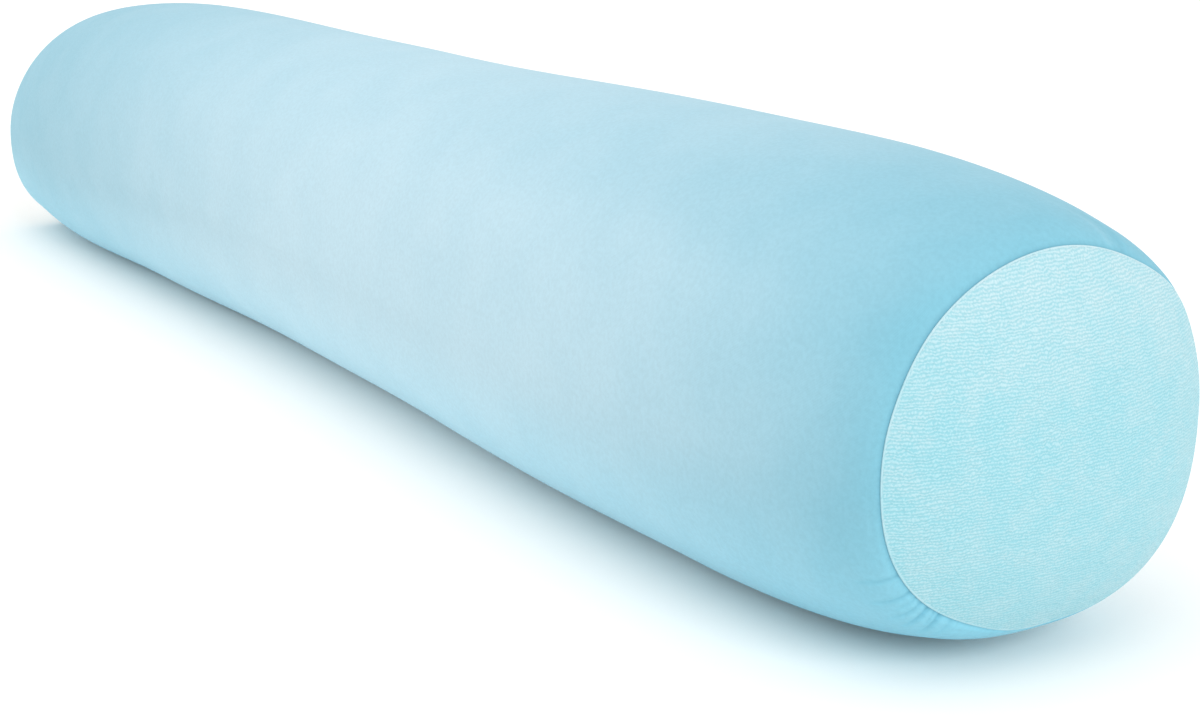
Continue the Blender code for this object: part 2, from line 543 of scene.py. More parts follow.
@dataclass(frozen=True)
class StretchKnit(Finish):
    """The tube's smooth, matte-satin stretch knit, paler where the fill stretches it open and where a
    highlight is painted on the body.

    How far it is open runs from 1 round the body to 0 by the seams, and below 0 in their folds; it holds
    painted light too: a painted highlight on the body, and painted shade towards the ends, along the
    underside and over the crown.

    Args:
        painted_crease_shade: the colour of painted shade, deep in a fold and in the seam itself.
        relaxed_and_shaded: its colour where the fill doesn't open it, which is also the colour of the
            painted shade.
        stretched_and_lit: its colour where the fill opens it most, which is also the colour of the painted
            highlight.
        matte: its roughness.
        sheen: how much light its fibres catch.
        gloss: its specular level.
        wale_pitch: the distance from one wale to the next.
        wale_depth: how deep they are.
        bump_strength: how strongly they shade.
        near_x: where the near seam is.
        upper_reach: how far from the near seam it opens, by height, at the sides and over the top; the
            deeper shoulder there is partly the knit's own and partly painted shade.
        lower_reach: what is added to that along the underside, which carries painted shade further along it.
        far_open_and_highlight: how far open it is by its place along the tube, which also paints the
            highlight on the body and shade towards the far end.
        painted_under_shade: painted shade, deeper low along the underside, by height.
        painted_crown_shade: painted shade, a little deeper over the top, by height.
        painted_fold_shade: how much deeper it reads in a fold, as painted shade.
        painted_seam_shade: how much deeper it reads right beside a seam, as painted shade.
        seam_reach: how far from the seam that has faded to a third.
        unevenness: how the opening changes from place to place.
        mottle: the yarn's own lights and darks.
        painted_under_light: painted light, how much lighter it is along the underside, by height.
        painted_far_light: painted light, how much lighter it is at the far end, by its place along the tube.
    """

    name: str = "stretch_knit"
    painted_crease_shade: Colour = (0.085, 0.300, 0.410)
    relaxed_and_shaded: Colour = (0.193, 0.458, 0.567)
    stretched_and_lit: Colour = (0.482, 0.662, 0.745)
    matte: Grain = Grain(60.0, Ramp(0.3, 0.7, 0.58, 0.66))
    sheen: float = 0.02
    gloss: float = 0.16
    wale_pitch: float = 0.6 * MM
    wale_depth: float = 0.02 * MM
    bump_strength: float = 0.5
    near_x: float = 0.5735
    upper_reach: Ramp = Ramp(0.145, 0.190, 0.100, 0.205)
    lower_reach: Ramp = Ramp(0.010, 0.090, 0.180, 0.0)
    far_open_and_highlight: Ramp = Ramp(-0.62, 0.14, 0.29, 1.0)
    painted_under_shade: Ramp = Ramp(0.010, 0.080, 0.84, 1.0)
    painted_crown_shade: Ramp = Ramp(0.120, 0.185, 1.0, 0.93)
    painted_fold_shade: float = 0.48
    painted_seam_shade: float = 0.55
    seam_reach: float = 0.7 * MM
    unevenness: Grain = Grain(22.0, Ramp(0.3, 0.7, -0.04, 0.04), detail=3.0)
    mottle: Grain = Grain(480.0, Ramp(0.30, 0.70, 0.965, 1.035), detail=4.0, roughness=0.65)
    painted_under_light: Ramp = Ramp(0.005, 0.085, 1.30, 1.0)
    painted_far_light: Ramp = Ramp(-0.60, -0.40, 1.07, 1.0)

    def dress(self, tree: ShaderTree, shader: bpy.types.NodeInputs) -> None:
        """Set the shader's inputs.

        Args:
            tree: the material's tree.
            shader: the shader's inputs.
        """
        place = tree.place()
        x, _, height = tree.split(place)
        share = tree.maths("ADD", self.openness_and_painted_light(tree, x, height), tree.grained(place, self.unevenness))
        # The mottle is the yarn's own; the other two factors are painted light.
        light = tree.product(
            tree.grained(place, self.mottle),
            tree.eased(height, self.painted_under_light),
            tree.eased(x, self.painted_far_light),
        )
        tree.feed(shader["Base Color"], tree.shaded(self.toned(tree, share), light))
        tree.feed(shader["Roughness"], tree.grained(place, self.matte))
        shader["Sheen Weight"].default_value = self.sheen
        shader["Specular IOR Level"].default_value = self.gloss
        tree.feed(shader["Normal"], self.knit_bump(tree))

    def openness_and_painted_light(self, tree: ShaderTree, x: Socket, height: Socket) -> Socket:
        """Find how far the knit is opened by the fill, with the painted highlight and painted shade in it.

        Args:
            tree: the material's tree.
            x: the place along the tube.
            height: the height.

        Returns:
            How far open it is, with the painted light in it.
        """
        reach = tree.maths("ADD", tree.eased(height, self.upper_reach), tree.eased(height, self.lower_reach))
        away = tree.maths("MAXIMUM", tree.maths("SUBTRACT", self.near_x, x), 0.0)
        # Painted light: paler under the highlight on the body, deeper as painted shade towards the shoulders
        # and the far end.
        body = tree.product(
            tree.maths("SUBTRACT", 1.0, tree.fading(away, reach)),
            tree.eased(x, self.far_open_and_highlight),
            # Painted shade along the underside and over the crown.
            tree.eased(height, self.painted_under_shade),
            tree.eased(height, self.painted_crown_shade),
        )
        # Painted shade in the seam's groove and along the folds.
        beside = tree.fading(tree.kept_number("from_seam"), self.seam_reach)
        with_seam_shade = tree.maths("MULTIPLY_ADD", beside, -self.painted_seam_shade, body)
        return tree.maths("MULTIPLY_ADD", tree.kept_number("fold"), -self.painted_fold_shade, with_seam_shade)

    def toned(self, tree: ShaderTree, share: Socket) -> Socket:
        """The knit's colour by how far it is open, which runs on to the painted crease shade below 0."""
        # From the unopened knit in painted shade to the opened knit under the painted highlight.
        open_and_lit_tone = tree.mixed(share, self.relaxed_and_shaded, self.stretched_and_lit)
        return tree.mixed(tree.maths("MULTIPLY", share, -1.0), open_and_lit_tone, self.painted_crease_shade)

    def knit_bump(self, tree: ShaderTree) -> Socket:
        """Raise the knit's fine wales, which run along the tube, and the courses that cross them.

        Args:
            tree: the material's tree.

        Returns:
            The surface's normal.
        """
        courses_to_wales = 1.3
        course_height = 0.6
        round_tube, along_tube, _ = tree.split(tree.add("ShaderNodeUVMap", uv_map="cloth").outputs["UV"])
        turn = FULL_TURN / self.wale_pitch
        wales = tree.maths("SINE", tree.product(round_tube, turn))
        courses = tree.maths("SINE", tree.product(along_tube, turn * courses_to_wales))
        height = tree.maths("MULTIPLY_ADD", courses, course_height, wales)
        inputs = {"Height": height, "Distance": self.wale_depth, "Strength": self.bump_strength}
        return tree.add("ShaderNodeBump", inputs).outputs[0]


@dataclass(frozen=True)
class PlushPile(Finish):
    """The end panels' short plush. Its rows of nap are pale at the tips and deeper between them, where
    painted shade lies in the hollows.

    Args:
        tips: its colour at the tips.
        shaded_roots: its colour between them, painted shade in the hollows of the nap.
        pale: what the colour is multiplied by where the pile stands up in patches, and high on the panel,
            where this is painted light.
        deep: the same where the pile lies flat, and low on the panel, where this is painted shade.
        roughness: its roughness.
        sheen: how much light its fibres catch.
        sheen_roughness: how widely they spread it.
        gloss: its specular level.
        tip_ramp: how the colour runs from root to tip by the nap's height.
        fibre_share: how much single fibres break the rows up.
        fibre_scale: how many fibres there are in a metre.
        fibre_detail: how strong their finer layers are.
        fibre_depth: how far they stand out.
        bump_strength: how strongly they shade.
        fibre_length: the way in which they lie, which is shorter the longer they are.
        fibre_width: the way across them.
        painted_top_light: painted light, how much paler the pile reads by height up the panel.
        patches: how far the pile stands up in soft patches.
    """

    name: str = "plush_pile"
    tips: Colour = (0.400, 0.620, 0.673)
    shaded_roots: Colour = (0.272, 0.535, 0.600)
    pale: Colour = (1.22, 1.05, 1.03)
    deep: Colour = (0.945, 1.01, 1.02)
    roughness: float = 0.92
    sheen: float = 0.20
    sheen_roughness: float = 0.5
    gloss: float = 0.2
    tip_ramp: Ramp = Ramp(0.0, 0.9)
    fibre_share: float = 2.3
    fibre_scale: float = 1500.0
    fibre_detail: float = 0.6
    fibre_depth: float = 0.10 * MM
    bump_strength: float = 0.6
    fibre_length: tuple[float, float, float] = (0.0, 0.20, 0.35)
    fibre_width: tuple[float, float, float] = (0.0, -0.87, 0.50)
    painted_top_light: Ramp = Ramp(0.095, 0.165, 0.15, 0.85)
    patches: Grain = Grain(75.0, Ramp(0.35, 0.65, -0.26, 0.26), detail=4.0, roughness=0.6)

    def dress(self, tree: ShaderTree, shader: bpy.types.NodeInputs) -> None:
        """Set the shader's inputs.

        Args:
            tree: the material's tree.
            shader: the shader's inputs.
        """
        place = tree.place()
        lying = tree.joined(tree.along(place, self.fibre_length), tree.along(place, self.fibre_width))
        fibres = tree.noise(lying, self.fibre_scale, roughness=self.fibre_detail)
        nap = nap_height(tree, tree.kept_vector("nap_phase"))
        broken = tree.maths("MULTIPLY_ADD", fibres, self.fibre_share, -self.fibre_share / 2.0)
        share = tree.eased(tree.maths("ADD", nap, broken), self.tip_ramp)
        # Painted shade: deeper between the tufts.
        colour = tree.mixed(share, self.shaded_roots, self.tips)
        # Painted light: paler higher up the panel; the soft patches are the pile's own.
        up = tree.eased(tree.split(place)[2], self.painted_top_light)
        brushing_and_top_light = tree.maths("ADD", up, tree.grained(place, self.patches))
        tone = tree.mixed(brushing_and_top_light, self.deep, self.pale)
        tree.feed(shader["Base Color"], tree.mixed(1.0, colour, tone, "MULTIPLY"))
        shader["Roughness"].default_value = self.roughness
        shader["Sheen Weight"].default_value = self.sheen
        shader["Sheen Roughness"].default_value = self.sheen_roughness
        shader["Specular IOR Level"].default_value = self.gloss
        inputs = {"Height": fibres, "Distance": self.fibre_depth, "Strength": self.bump_strength}
        tree.feed(shader["Normal"], tree.add("ShaderNodeBump", inputs).outputs[0])


@dataclass(frozen=True)
class StudioPaper(Finish):
    """The plain pale paper that the pillow lies on.

    Args:
        colour: its colour.
        glow: how much light of its own it gives.
        roughness: its roughness.
        gloss: its specular level.
        shade: its very faint lights and darks.
    """

    name: str = "studio_paper"
    colour: Colour = (0.970, 0.955, 0.935)
    glow: float = 0.02
    roughness: float = 0.9
    gloss: float = 0.1
    shade: Grain = Grain(3.0, Ramp(0.3, 0.7, 0.995, 1.0))

    def dress(self, tree: ShaderTree, shader: bpy.types.NodeInputs) -> None:
        """Set the shader's inputs.

        Args:
            tree: the material's tree.
            shader: the shader's inputs.
        """
        light = tree.grained(tree.place(), self.shade)
        tree.feed(shader["Base Color"], tree.shaded(self.colour, light))
        shader["Emission Color"].default_value = (1.0, 1.0, 1.0, 1.0)
        shader["Emission Strength"].default_value = self.glow
        shader["Roughness"].default_value = self.roughness
        shader["Specular IOR Level"].default_value = self.gloss


# ------------------------------------------------------------------------------------------------
# The tube
# ------------------------------------------------------------------------------------------------


@dataclass(frozen=True)
class SeamSway:
    """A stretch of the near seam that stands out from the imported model's even ring.

    Args:
        turn: its middle, in degrees round the section from +Y over the top.
        out: how far it stands out there, or in where this is less than 0.
        spread: the turn over which it fades, in degrees.
    """

    turn: float
    out: float
    spread: float

    def at(self, turns: np.ndarray) -> np.ndarray:
        """How far the seam stands out at some turns, in radians."""
        aside = (np.degrees(turns) - self.turn + 180.0) % 360.0 - 180.0
        return self.out * np.exp(-((aside / self.spread) ** 2))


NEAR_SEAM = (
    SeamSway(turn=38.0, out=2.7 * MM, spread=16.0),
    SeamSway(turn=120.0, out=-0.9 * MM, spread=34.0),
    SeamSway(turn=161.0, out=-1.6 * MM, spread=18.0),
    SeamSway(turn=229.0, out=-2.3 * MM, spread=26.0),
    SeamSway(turn=261.0, out=1.7 * MM, spread=13.0),
    SeamSway(turn=287.0, out=3.1 * MM, spread=41.0),
)


@dataclass
class TubeSkin:
    """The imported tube's skin between its seams, read once as a smooth surface.

    A place on it is a distance along the cloth from the far seam and a share of a turn round its
    section, counted from +Y over the top.

    Args:
        sides: how many points a section has.
        fairing: the waves in a turn above which the facets are faded out.
        panel_depth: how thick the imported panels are.
        axis_guess: a height that lies inside every section.
        off_the_edge: how far inside the seams their sections are read.
        outside: a distance that lies outside every section.
        merge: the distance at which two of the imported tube's points are one.
        seam_margin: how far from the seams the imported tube's own rings count.
        ring_least: the points that such a ring has at least.
        sharp_fade: how fast half of the near seam's sway fades along the cloth.
        long_fade: how fast the other half does.
    """

    sides: int = 672
    fairing: float = 17.0
    panel_depth: float = 2.6 * MM
    axis_guess: float = 90 * MM
    off_the_edge: float = 0.03 * MM
    outside: float = 0.5
    merge: float = 0.01 * MM
    seam_margin: float = 0.2 * MM
    ring_least: int = 28
    sharp_fade: float = 2.2 * MM
    long_fade: float = 28 * MM
    tree: BVHTree = field(init=False, repr=False)
    far_x: float = field(init=False)
    near_x: float = field(init=False)
    turns: np.ndarray = field(init=False, repr=False)
    sections: np.ndarray = field(init=False, repr=False)
    stations: np.ndarray = field(init=False, repr=False)
    length: float = field(init=False)

    def __post_init__(self) -> None:
        """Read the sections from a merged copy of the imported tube."""
        copy = bmesh.new()
        copy.from_mesh(bpy.data.objects["bolster_tube"].data)
        bmesh.ops.remove_doubles(copy, verts=copy.verts, dist=self.merge)
        self.tree = BVHTree.FromBMesh(copy)
        self.far_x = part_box(PillowEnd.FAR.panel_node)[1][0] - self.panel_depth
        self.near_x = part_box(PillowEnd.NEAR.panel_node)[0][0] + self.panel_depth
        stops = self.ring_places(copy)
        copy.free()
        self.turns = FULL_TURN * np.arange(self.sides) / self.sides
        self.sections = np.array([self.section(x) for x in stops])
        steps = np.linalg.norm(np.diff(self.sections, axis=0), axis=2).mean(axis=1)
        self.stations = np.concatenate(([0.0], np.cumsum(steps)))
        self.length = float(self.stations[-1])

    def ring_places(self, copy: bmesh.types.BMesh) -> np.ndarray:
        """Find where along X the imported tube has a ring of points.

        Args:
            copy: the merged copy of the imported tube.

        Returns:
            The rings' places, with the seams as the first and the last.
        """
        found, counts = np.unique([round(point.co.x, 5) for point in copy.verts], return_counts=True)
        after_far = found > self.far_x + self.seam_margin
        before_near = found < self.near_x - self.seam_margin
        kept = found[after_far & before_near & (counts > self.ring_least)]
        return np.concatenate(([self.far_x], kept, [self.near_x]))

    def reach(self, origin: Vector, way: Vector) -> float:
        """How far the outermost skin is from a point inside the tube."""
        return self.outside - self.tree.ray_cast(origin + way * self.outside, -way)[3]

    def section(self, x: float) -> np.ndarray:
        """Read the tube's outline round the middle of its height.

        Args:
            x: the outline's place along the tube.

        Returns:
            Its points, evenly turned from +Y over the top.
        """
        inside = x - math.copysign(self.off_the_edge, x)
        start = Vector((inside, 0.0, self.axis_guess))
        top = self.axis_guess + self.reach(start, Vector((0.0, 0.0, 1.0)))
        bottom = self.axis_guess - self.reach(start, Vector((0.0, 0.0, -1.0)))
        middle = (top + bottom) / 2.0
        axis = Vector((inside, 0.0, middle))
        ways = [Vector((0.0, math.cos(turn), math.sin(turn))) for turn in self.turns]
        radius = faired(np.array([self.reach(axis, way) for way in ways]), self.fairing)
        heights = np.maximum(middle + radius * np.sin(self.turns), 0.0)
        return np.column_stack((np.full(self.sides, x), radius * np.cos(self.turns), heights))

    def rows(self, distances: np.ndarray) -> np.ndarray:
        """Lay rows of points on the skin, with the near seam's sway.

        Args:
            distances: the rows' distances along the cloth.

        Returns:
            The points as a grid (row, side, coordinate).
        """
        grid = eased_between(self.stations, self.sections, distances)
        away = self.length - distances
        fade = 0.5 * np.exp(-away / self.sharp_fade) + 0.5 * np.exp(-away / self.long_fade)
        shift = fade[:, None] * sum(sway.at(self.turns) for sway in NEAR_SEAM)[None, :]
        grid[:, :, 1] += shift * np.cos(self.turns)
        grid[:, :, 2] = np.maximum(grid[:, :, 2] + shift * np.sin(self.turns), 0.0)
        return grid

    def outline(self, end: PillowEnd) -> tuple[np.ndarray, float, float]:
        """Find an end's seam line.

        Args:
            end: the end.

        Returns:
            Its radius at each of the sides' turns, the height of its middle and its place along X.
        """
        ring = self.rows(np.array((self.length if end is PillowEnd.NEAR else 0.0,)))[0]
        middle = (ring[:, 2].max() + ring[:, 2].min()) / 2.0
        around = np.arctan2(ring[:, 2] - middle, ring[:, 1]) % FULL_TURN
        order = np.argsort(around)
        radius = np.hypot(ring[:, 1], ring[:, 2] - middle)
        even = np.interp(self.turns, around[order], radius[order], period=FULL_TURN)
        return even, float(middle), float(ring[0, 0])


@dataclass(frozen=True)
class Fold:
    """One soft fold in the cloth that runs out from the near seam.

    Args:
        turn: where it leaves the seam, in degrees round the section from +Y over the top.
        lean: how far its outer end lies on round the section, in degrees.
        reach: its length along the cloth.
        width: its width.
        depth: how deep it is, or how high where this is less than 0.

    Every fold opens over the distances OPENS from the seam, and is full up to HOLDS of its length.
    """

    turn: float
    lean: float
    reach: float
    width: float
    depth: float

    OPENS = (-1.5 * MM, 1.2 * MM)
    HOLDS = 0.2

    def sunk(self, away: np.ndarray, angles: np.ndarray, girth: np.ndarray) -> np.ndarray:
        """Find how deep the cloth lies in the fold.

        Args:
            away: each row's distance from the near seam.
            angles: each side's turn in degrees.
            girth: each point's distance from the tube's axis.

        Returns:
            The depth at each point.
        """
        line = self.turn + self.lean * away / self.reach
        aside = np.radians((angles - line + 180.0) % 360.0 - 180.0) * girth
        across = np.exp(-((aside / (0.5 * self.width)) ** 2))
        closing = 1.0 - smooth_step(away, self.HOLDS * self.reach, self.reach)
        return self.depth * across * (smooth_step(away, *self.OPENS) * closing)


NEAR_FOLDS = (
    Fold(turn=212.0, lean=0.0, reach=22 * MM, width=1.8 * MM, depth=0.50 * MM),
    Fold(turn=219.0, lean=0.5, reach=20 * MM, width=1.9 * MM, depth=0.70 * MM),
    Fold(turn=221.6, lean=1.5, reach=12 * MM, width=1.4 * MM, depth=0.35 * MM),
    Fold(turn=224.3, lean=2.5, reach=19 * MM, width=1.8 * MM, depth=0.65 * MM),
    Fold(turn=227.4, lean=4.5, reach=19 * MM, width=2.4 * MM, depth=1.00 * MM),
    Fold(turn=229.9, lean=4.5, reach=12 * MM, width=1.5 * MM, depth=0.45 * MM),
    Fold(turn=232.3, lean=5.0, reach=18 * MM, width=2.5 * MM, depth=1.00 * MM),
    Fold(turn=237.0, lean=3.0, reach=14 * MM, width=2.0 * MM, depth=0.40 * MM),
    Fold(turn=69.0, lean=9.0, reach=42 * MM, width=3.6 * MM, depth=-0.20 * MM),
    Fold(turn=63.0, lean=8.0, reach=36 * MM, width=6.0 * MM, depth=0.35 * MM),
)


@dataclass(frozen=True)
class Filling:
    """How the fill presses against the tube's cloth.

    Args:
        cell: the cloth mesh's rows along the tube.
        sides: its points round the tube.
        slack: how far inside its place the cloth starts.
        eased_in: how far from the seams that comes in.
        most_moved: how far the fill may move a point from where the rest go.
        pressure: the fill's pressure.
        frames: how long it presses.
        steps: the solver's steps in a frame.
        stiffness: how hard the cloth is to stretch.
        bending: how hard it is to bend.
    """

    cell: float = 6.0 * MM
    sides: int = 112
    slack: float = 1.5 * MM
    eased_in: float = 30 * MM
    most_moved: float = 1.2 * MM
    pressure: float = 4.0
    frames: int = 20
    steps: int = 5
    stiffness: float = 25.0
    bending: float = 1.0

    def settled(self, skin: TubeSkin, distances: np.ndarray) -> np.ndarray:
        """Find how the fill moves the cloth once it presses against it.

        Args:
            skin: the tube's skin.
            distances: the rows' distances along the cloth.

        Returns:
            Each point's move, as a grid (row, side, coordinate).
        """
        count = round(skin.length / self.cell)
        cells = skin.length * np.arange(count + 1) / count
        target = skin.rows(cells)[:, :: skin.sides // self.sides]
        normals = grid_normals(target)
        from_far = smooth_step(cells, 0.0, self.eased_in)
        from_near = smooth_step(skin.length - cells, 0.0, self.eased_in)
        share = (from_far * from_near)[:, None, None]
        after = self.pressed(target - normals * self.slack * share)
        out = ((after - target) * normals).sum(axis=2, keepdims=True)
        even = np.clip(out - np.median(out), -self.most_moved, self.most_moved)
        LOG.info("fill moved the cloth %.1f mm on average", 1000 * float(np.median(out)))
        return eased_between(cells, finer_round(normals * even * share, skin.sides), distances)

    def pressed(self, start: np.ndarray) -> np.ndarray:
        """Run the cloth under the fill's pressure, held at both seams.

        Args:
            start: the cloth's points (row, side, coordinate) before it.

        Returns:
            The points after it.
        """
        rows, sides, _ = start.shape
        count = rows * sides
        points = np.concatenate((start.reshape(-1, 3), start[[0, -1]].mean(axis=1)))
        index = np.arange(count).reshape(rows, sides).tolist()
        faces = [face for row, after in zip(index, index[1:]) for face in bridge(row, after)]
        faces += fan(index[0], count) + fan(index[-1], count + 1)
        cloth = object_from("fill_cloth", mesh_from("fill_cloth", points, faces))
        cloth.vertex_groups.new(name="held").add([*index[0], *index[-1], count, count + 1], 1.0, "REPLACE")
        self.set_up(cloth.modifiers.new("fill", "CLOTH"))
        for step in range(1, self.frames + 1):
            bpy.context.scene.frame_set(step)
        shown = cloth.evaluated_get(bpy.context.evaluated_depsgraph_get())
        after = np.array([point.co for point in shown.data.vertices])[:count]
        bpy.data.objects.remove(cloth, do_unlink=True)
        bpy.context.scene.frame_set(1)
        return after.reshape(rows, sides, 3)

    def set_up(self, modifier: bpy.types.ClothModifier) -> None:
        """Give the cloth its stiffness and the fill's pressure.

        Args:
            modifier: the cloth modifier, on an object whose seams are in the group "held".
        """
        settings = modifier.settings
        settings.vertex_group_mass = "held"
        settings.quality = self.steps
        settings.tension_stiffness = self.stiffness
        settings.compression_stiffness = self.stiffness
        settings.bending_stiffness = self.bending
        settings.use_pressure = True
        settings.uniform_pressure_force = self.pressure
        settings.effector_weights.gravity = 0.0
        modifier.point_cache.frame_start = 1
        modifier.point_cache.frame_end = self.frames


@dataclass(frozen=True)
class Gathers:
    """The fine gathers that both seams draw the cloth in to.

    Args:
        count: how many there are round a seam.
        depth: how deep they are.
        reach: how far from the seam they have faded to a third.
        seed: the number that sets where they fall.
        wander: how far they stray from even spacing, in radians.
        wander_scale: how often that changes.
        unlike: how much each is of full depth.
        rise: how they deepen away from the seam itself.
    """

    count: float = 150.0
    depth: float = 0.10 * MM
    reach: float = 3.5 * MM
    seed: float = 4.0
    wander: float = 30.0
    wander_scale: float = 6.0
    unlike: Grain = Grain(9.0, Ramp(0.35, 0.7, 0.1, 1.0))
    rise: Ramp = Ramp(0.0, 0.8 * MM, 0.3, 1.0)

    def tree(self) -> GeometryTree:
        """Make the tree that draws the gathers in, by the notes that the points keep as "seam".

        Returns:
            The tree.
        """
        tree = GeometryTree("seam_gathers")
        count = tree.named_input("Gathers Round")
        depth = tree.named_input("Depth")
        reach = tree.named_input("Reach")
        seed = tree.named_input("Seed")
        material = tree.named_input("Material", "NodeSocketMaterial")
        turn, away, end = tree.split(tree.attribute("seam"))
        angle = tree.product(turn, FULL_TURN)
        cosine, sine = tree.maths("COSINE", angle), tree.maths("SINE", angle)
        circle = tree.joined(cosine, sine, tree.maths("ADD", end, seed))
        wander = tree.product(tree.noise(circle, self.wander_scale, 1.0), self.wander)
        wave = tree.maths("SINE", tree.maths("MULTIPLY_ADD", angle, count, wander))
        ridge = tree.maths("MULTIPLY_ADD", wave, 0.5, -0.5)
        fade = tree.fading(away, reach)
        rise = tree.eased(away, self.rise)
        size = tree.product(ridge, tree.grained(circle, self.unlike), fade, rise, depth)
        tree.close(tree.pushed_out(size), material)
        return tree

    def values(self, material: bpy.types.Material) -> dict:
        """The gathers' sizes, by the tree's names for them."""
        sizes = {"Gathers Round": self.count, "Depth": self.depth, "Reach": self.reach, "Seed": self.seed}
        return {**sizes, "Material": material}


@dataclass
class BolsterTube:
    """The filled tube: one closed skin of knit from seam to seam, tucked in behind both panels.

    Args:
        skin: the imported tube's skin.
        finish: its cloth.
        filling: how the fill presses against the cloth.
        gathers: the gathers by the seams.
        body_sides: how many points the body's rows have.
        body_row: how far apart the body's rows are.
        seam_zone: how far from a seam the rows are finer.
        finest_row: how far apart they are right at the seam.
        zone_rows: how many rows a seam's zone has.
        edge_roll: how wide the rolled edge is at the seam.
        edge_angles: the roll's rings, in degrees round it.
        tuck: how far the cloth is tucked in behind the panel.
        closing_shares: the rings that close the tube behind the panel, as shares of its radius.
        map_radius: the radius that the cloth's map counts round.
        map_middle: the height of its middle.

    NO_SEAM is the distance that is noted for cloth that is hidden, away from both seams.
    """

    skin: TubeSkin
    finish: StretchKnit
    filling: Filling = Filling()
    gathers: Gathers = Gathers()
    body_sides: int = 168
    body_row: float = 6.0 * MM
    seam_zone: float = 45 * MM
    finest_row: float = 0.35 * MM
    zone_rows: int = 42
    edge_roll: float = 0.3 * MM
    edge_angles: tuple[float, ...] = (35.0, 70.0, 110.0, 150.0, 180.0)
    tuck: float = 3.0 * MM
    closing_shares: tuple[float, ...] = (0.97, 0.86, 0.66, 0.42, 0.18)
    map_radius: float = 98 * MM
    map_middle: float = 96 * MM

    NO_SEAM = 1.0

    def build(self) -> bpy.types.Object:
        """Make the tube.

        Returns:
            The finished piece.
        """
        distances = self.row_distances()
        grid = self.skin.rows(distances) + self.filling.settled(self.skin, distances)
        grid[:, :, 2] = np.maximum(grid[:, :, 2], 0.0)
        grid, folds = self.folded(grid, distances)
        base = self.closed_mesh(grid, folds, distances)
        values = self.gathers.values(self.finish.material())
        return self.gathers.tree().run("bolster_cover", base, values)

    def row_distances(self) -> np.ndarray:
        """Space the mesh's rows, close together by the seams and wide apart on the body.

        Returns:
            Their distances along the cloth.
        """
        steps = np.linspace(0.0, 1.0, self.zone_rows)
        first = self.finest_row * (self.zone_rows - 1)
        zone = first * steps + (self.seam_zone - first) * steps**2
        inner = self.skin.length - 2.0 * self.seam_zone
        body = self.seam_zone + np.linspace(0.0, inner, round(inner / self.body_row) + 1)
        return np.concatenate((zone, body[1:-1], self.skin.length - zone[::-1]))

    def folded(self, grid: np.ndarray, distances: np.ndarray) -> tuple[np.ndarray, np.ndarray]:
        """Press the near seam's folds into the cloth.

        Args:
            grid: the cloth's points (row, side, coordinate).
            distances: the rows' distances along the cloth.

        Returns:
            The moved points, and how deep each lies in a fold, as a share of the deepest.
        """
        away = (self.skin.length - distances)[:, None]
        angles = np.degrees(self.skin.turns)[None, :]
        from_axis = grid[:, :, 1:] - grid[:, :, 1:].mean(axis=1, keepdims=True)
        girth = np.linalg.norm(from_axis, axis=2)
        sunk = sum(fold.sunk(away, angles, girth) for fold in NEAR_FOLDS)
        deepest = max(fold.depth for fold in NEAR_FOLDS)
        return grid - grid_normals(grid) * sunk[:, :, None], sunk / deepest

    def closed_mesh(self, grid: np.ndarray, folds: np.ndarray, distances: np.ndarray) -> bpy.types.Mesh:
        """Skin the grid, with fewer sides round the body, and close it behind both panels.

        Args:
            grid: the cloth's points (row, side, coordinate).
            folds: how deep each lies in a fold.
            distances: the rows' distances along the cloth.

        Returns:
            The closed mesh with its notes and its map.
        """
        rings: list[np.ndarray] = []
        notes: list[np.ndarray] = []
        step = self.skin.sides // self.body_sides
        for row, depth, distance in zip(grid, folds, distances):
            away = min(distance, self.skin.length - distance)
            every = 1 if away <= self.seam_zone + 0.001 * MM else step
            rings.append(row[::every])
            notes.append(self.seam_notes(depth[::every], away, distance > away))
        far, near = self.tucked(PillowEnd.FAR, grid[0]), self.tucked(PillowEnd.NEAR, grid[-1])
        hidden = [self.seam_notes(np.zeros(len(ring)), self.NO_SEAM, False) for ring in far]
        return self.skinned(far[::-1] + rings + near, hidden[::-1] + notes + hidden)

    @staticmethod
    def seam_notes(folds: np.ndarray, away: float, near: bool) -> np.ndarray:
        """Write a row's notes.

        Args:
            folds: how deep each point lies in a fold.
            away: the row's distance from the nearest seam.
            near: whether that is the near one.

        Returns:
            Each point's share of a turn, its distance, which seam that is from, and its fold.
        """
        count = len(folds)
        turn = np.arange(count) / count
        return np.column_stack((turn, np.full(count, away), np.full(count, float(near)), folds))

    def tucked(self, end: PillowEnd, seam: np.ndarray) -> list[np.ndarray]:
        """Roll the cloth over the seam's edge and carry it in behind the panel.

        Args:
            end: the end.
            seam: the points along its seam.

        Returns:
            The rings of points, from the seam inwards.
        """
        middle = np.array((0.0, 0.0, (seam[:, 2].max() + seam[:, 2].min()) / 2.0))
        radius = np.abs(seam[:, 1]).max()
        rings = []
        for angle in np.radians(self.edge_angles):
            inset = self.edge_roll * (1.0 - math.cos(angle)) / 2.0
            lift = self.edge_roll * math.sin(angle) / 2.0
            rings.append(self.drawn_in(seam, middle, inset / radius, end.value * lift))
        rings.append(self.drawn_in(seam, middle, self.edge_roll / radius, -end.value * self.tuck))
        fewer = seam[:: self.skin.sides // self.body_sides]
        bulge = EndPanel.bulge_of(end, self.skin)
        for share in self.closing_shares:
            rise = bulge * (1.0 - share**EndPanel.BULGE_POWER) - self.tuck
            inset = self.edge_roll / radius + 1.0 - share
            rings.append(self.drawn_in(fewer, middle, inset, end.value * rise))
        return rings

